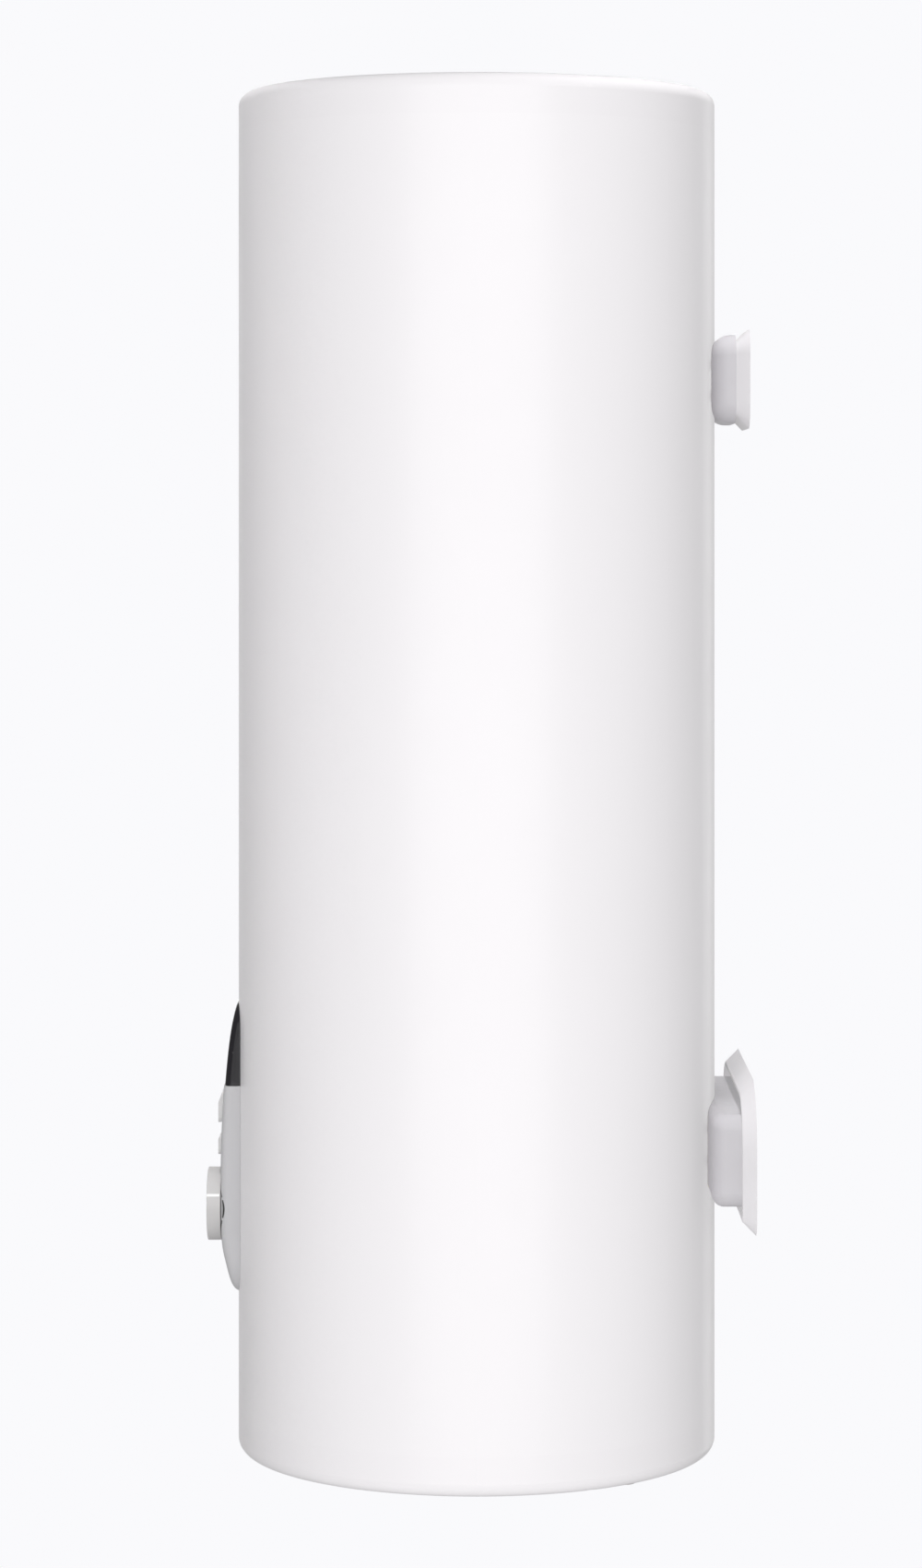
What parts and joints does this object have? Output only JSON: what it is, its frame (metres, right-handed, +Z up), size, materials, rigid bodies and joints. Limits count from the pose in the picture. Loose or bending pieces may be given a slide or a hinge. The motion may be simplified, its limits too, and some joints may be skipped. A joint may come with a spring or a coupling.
{
  "type": "electric tank water heater",
  "caption": "Slim wall-hung electric storage water heater: white cylinder with a narrow front panel of display, push buttons and knob, and pressed steel brackets behind.",
  "frame": {"origin": "centre of the upper wall plate's back face, on the wall plane", "axes": "+Z up along the tank; +Y into the wall; the control panel faces -Y"},
  "size_m": [0.364, 0.4115, 1.053],
  "materials": {
    "casing_white": "satin",
    "cap_white": "satin",
    "cover_white": "satin",
    "panel_white": "satin",
    "lens_dark": "gloss",
    "button_white": "satin",
    "knob_white": "satin",
    "pointer_light": "gloss",
    "bracket_grey": "satin",
    "bracket_white": "satin",
    "foam": "matte",
    "tank_steel": "satin",
    "seal_rubber": "matte",
    "zinc_steel": "satin",
    "element_sheath": "satin",
    "brass_fitting": "satin",
    "magnesium": "matte",
    "dark_plastic": "matte",
    "reset_red": "satin",
    "ring_blue": "satin",
    "ring_red": "satin",
    "grey_plastic": "matte",
    "cream_plastic": "matte",
    "wire_sheath": "satin",
    "board_green": "satin"
  },
  "bodies": {
    "heater": {"anode_nut": "zinc_steel", "anode_stud": "zinc_steel", "board_screws": "zinc_steel", "bottom_cap": "cap_white", "bracket_nuts": "zinc_steel", "button_switches": "dark_plastic", "cable_duct": "grey_plastic", "cable_gland": "grey_plastic", "cold_inlet": "zinc_steel", "cold_ring": "ring_blue", "control_board": "board_green", "control_cable": "wire_sheath", "cover_screws": "zinc_steel", "display_lens": "lens_dark", "display_module": "dark_plastic", "electronics_tray": "grey_plastic", "element_bushings": "brass_fitting", "element_terminals": "brass_fitting", "filter_capacitor": "dark_plastic", "flange_bolts": "zinc_steel", "flange_gasket": "seal_rubber", "flange_plate": "zinc_steel", "foam_insulation": "foam", "gland_nut": "grey_plastic", "heating_elements": "element_sheath", "hot_dip_tube": "element_sheath", "hot_outlet": "zinc_steel", "hot_ring": "ring_red", "inlet_diffuser": "grey_plastic", "internal_wires": "wire_sheath", "lower_collar": "bracket_grey", "lower_tank_studs": "tank_steel", "lower_wall_plate": "bracket_white", "magnesium_anode": "magnesium", "outer_casing": "casing_white", "panel_housing": "panel_white", "panel_screws": "zinc_steel", "power_relay": "dark_plastic", "rotary_encoder": "cream_plastic", "safety_cutout": "dark_plastic", "sensor_pockets": "element_sheath", "service_cover": "cover_white", "tank_bottom_dome": "tank_steel", "tank_flange_ring": "tank_steel", "tank_shell": "tank_steel", "tank_top_dome": "tank_steel", "temperature_probes": "brass_fitting", "terminal_block": "cream_plastic", "terminal_screws": "zinc_steel", "top_cap": "cap_white", "transformer": "dark_plastic", "upper_collar": "bracket_grey", "upper_tank_studs": "tank_steel", "upper_wall_plate": "bracket_white"},
    "control_knob": {"control_knob": "knob_white", "knob_pointer": "pointer_light", "encoder_shaft": "cream_plastic"},
    "power_button": {"power_button": "button_white"},
    "mode_button": {"mode_button": "button_white"},
    "reset_button": {"reset_button": "reset_red"}
  },
  "joints": [
    {"name": "knob_turn", "type": "hinge", "parent": "heater", "child": "control_knob", "pos_m": [0, -0.406, -0.6299], "axis": [0, 1, 0], "range_deg": [-204, 66]},
    {"name": "power_button_press", "type": "slide", "parent": "heater", "child": "power_button", "axis": [0, 1, 0], "range_m": [0, 0.001], "stiffness_N_per_m": 800, "springref_m": -0.0012},
    {"name": "mode_button_press", "type": "slide", "parent": "heater", "child": "mode_button", "axis": [0, 1, 0], "range_m": [0, 0.001], "stiffness_N_per_m": 800, "springref_m": -0.0012},
    {"name": "reset_button_press", "type": "slide", "parent": "heater", "child": "reset_button", "axis": [0, 0, 1], "range_m": [0, 0.0015], "stiffness_N_per_m": 600, "springref_m": -0.002}
  ]
}
